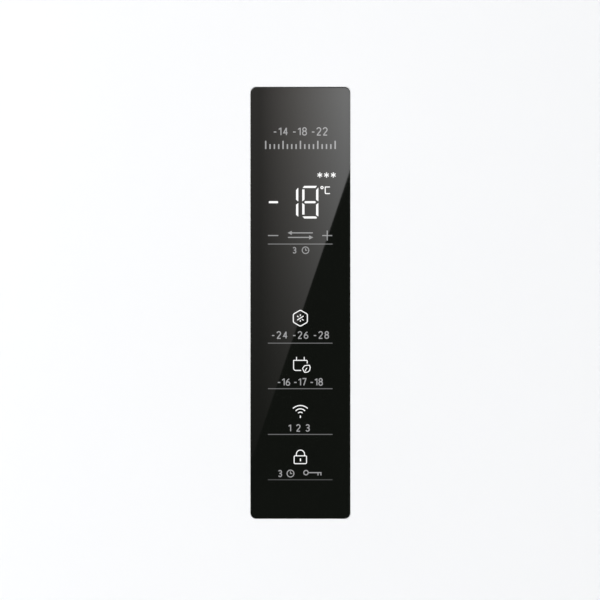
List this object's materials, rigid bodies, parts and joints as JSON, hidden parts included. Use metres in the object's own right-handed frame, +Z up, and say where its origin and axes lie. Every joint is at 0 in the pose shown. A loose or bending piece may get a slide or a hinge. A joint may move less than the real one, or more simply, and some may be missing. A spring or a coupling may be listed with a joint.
{
  "type": "upright freezer",
  "caption": "Tall white upright freezer with one right-hinged door that carries a slim black glass touch panel, glass shelves, clear drawers and a rear compressor bay.",
  "frame": {"origin": "on the floor, under the middle of the closed freezer's bounding box", "axes": "+Z up, the door faces -Y, +X is the hinge side"},
  "size_m": [0.595, 0.66, 1.9],
  "materials": {
    "white_steel": "satin",
    "white_plastic": "satin",
    "liner_plastic": "gloss",
    "grey_plastic": "matte",
    "black_plastic": "matte",
    "zinc_steel": "satin",
    "black_steel": "satin",
    "foam": "matte",
    "copper": "satin",
    "aluminium": "satin",
    "black_rubber": "matte",
    "seal_rubber": "matte",
    "shelf_glass": "polished",
    "panel_glass": "polished",
    "clear_plastic": "gloss",
    "lamp_plastic": "matte",
    "circuit_board": "satin"
  },
  "bodies": {
    "cabinet": {"side_panel_left": "white_steel", "side_panel_right": "white_steel", "top_panel": "white_steel", "back_panel": "zinc_steel", "front_crossrails": "white_steel", "cabinet_foam": "foam", "inner_liner": "liner_plastic", "base_frame": "zinc_steel", "kick_plate": "white_plastic", "compressor_plate": "zinc_steel", "compressor": "black_steel", "compressor_grommets": "black_rubber", "compressor_bolts": "zinc_steel", "relay_box": "black_plastic", "condenser_coil": "black_steel", "condenser_fan_frame": "black_plastic", "refrigerant_lines": "copper", "filter_drier": "copper", "evaporation_tray": "white_plastic", "machine_cover": "zinc_steel", "screws": "zinc_steel", "mains_gland": "black_plastic", "control_box": "grey_plastic", "control_board": "circuit_board", "evaporator_coil": "aluminium", "evaporator_fins": "aluminium", "evaporator_cover": "liner_plastic", "evaporator_fan_frame": "grey_plastic", "defrost_heater": "aluminium", "interior_light": "lamp_plastic", "glass_shelves": "shelf_glass", "shelf_trims": "white_plastic", "top_hinge": "zinc_steel", "bottom_hinge": "zinc_steel", "hinge_cover": "white_plastic"},
    "door": {"door_skin": "white_steel", "door_cap_top": "white_plastic", "door_cap_bottom": "white_plastic", "door_foam": "foam", "door_liner": "liner_plastic", "door_seal": "seal_rubber", "door_grip": "white_plastic", "hinge_bushes": "grey_plastic", "panel_glass": "panel_glass", "panel_carrier": "black_plastic", "light_guide": "white_plastic", "touch_pads": "black_rubber", "display_board": "circuit_board", "panel_housing": "grey_plastic"},
    "drawer_1": {"drawer_1": "clear_plastic"},
    "drawer_2": {"drawer_2": "clear_plastic"},
    "drawer_3": {"drawer_3": "clear_plastic"},
    "drawer_4": {"drawer_4": "clear_plastic"},
    "drawer_5": {"drawer_5": "clear_plastic"},
    "condenser_fan": {"condenser_fan": "grey_plastic"},
    "evaporator_fan": {"evaporator_fan": "white_plastic"},
    "roller_left": {"roller_left": "grey_plastic"},
    "roller_right": {"roller_right": "grey_plastic"},
    "foot_left": {"foot_left": "grey_plastic"},
    "foot_right": {"foot_right": "grey_plastic"}
  },
  "joints": [
    {"name": "door_hinge", "type": "hinge", "parent": "cabinet", "child": "door", "pos_m": [0.277, -0.2964, 1], "axis": [0, 0, 1], "range_deg": [0, 135]},
    {"name": "drawer_1_slide", "type": "slide", "parent": "cabinet", "child": "drawer_1", "axis": [0, -1, 0], "range_m": [0, 0.19]},
    {"name": "drawer_2_slide", "type": "slide", "parent": "cabinet", "child": "drawer_2", "axis": [0, -1, 0], "range_m": [0, 0.19]},
    {"name": "drawer_3_slide", "type": "slide", "parent": "cabinet", "child": "drawer_3", "axis": [0, -1, 0], "range_m": [0, 0.19]},
    {"name": "drawer_4_slide", "type": "slide", "parent": "cabinet", "child": "drawer_4", "axis": [0, -1, 0], "range_m": [0, 0.19]},
    {"name": "drawer_5_slide", "type": "slide", "parent": "cabinet", "child": "drawer_5", "axis": [0, -1, 0], "range_m": [0, 0.19]},
    {"name": "condenser_fan_spin", "type": "hinge", "parent": "cabinet", "child": "condenser_fan", "pos_m": [-0.0435, 0.202, 0.112], "axis": [1, 0, 0], "continuous": true},
    {"name": "evaporator_fan_spin", "type": "hinge", "parent": "cabinet", "child": "evaporator_fan", "pos_m": [0, 0.2062, 0.6815], "axis": [0, -1, 0], "continuous": true},
    {"name": "roller_left_spin", "type": "hinge", "parent": "cabinet", "child": "roller_left", "pos_m": [-0.2555, 0.282, 0.016], "axis": [1, 0, 0], "continuous": true},
    {"name": "roller_right_spin", "type": "hinge", "parent": "cabinet", "child": "roller_right", "pos_m": [0.2555, 0.282, 0.016], "axis": [1, 0, 0], "continuous": true},
    {"name": "foot_left_turn", "type": "hinge", "parent": "cabinet", "child": "foot_left", "pos_m": [-0.2525, -0.2154, 0.02], "axis": [0, 0, 1], "continuous": true},
    {"name": "foot_right_turn", "type": "hinge", "parent": "cabinet", "child": "foot_right", "pos_m": [0.2525, -0.2154, 0.02], "axis": [0, 0, 1], "continuous": true}
  ],
  "couplings": [
    {"joint": "drawer_1_slide", "follows": "door_hinge", "m_per_rad": 0.08},
    {"joint": "drawer_2_slide", "follows": "door_hinge", "m_per_rad": 0.08},
    {"joint": "drawer_3_slide", "follows": "door_hinge", "m_per_rad": 0.08},
    {"joint": "drawer_4_slide", "follows": "door_hinge", "m_per_rad": 0.08},
    {"joint": "drawer_5_slide", "follows": "door_hinge", "m_per_rad": 0.08}
  ]
}
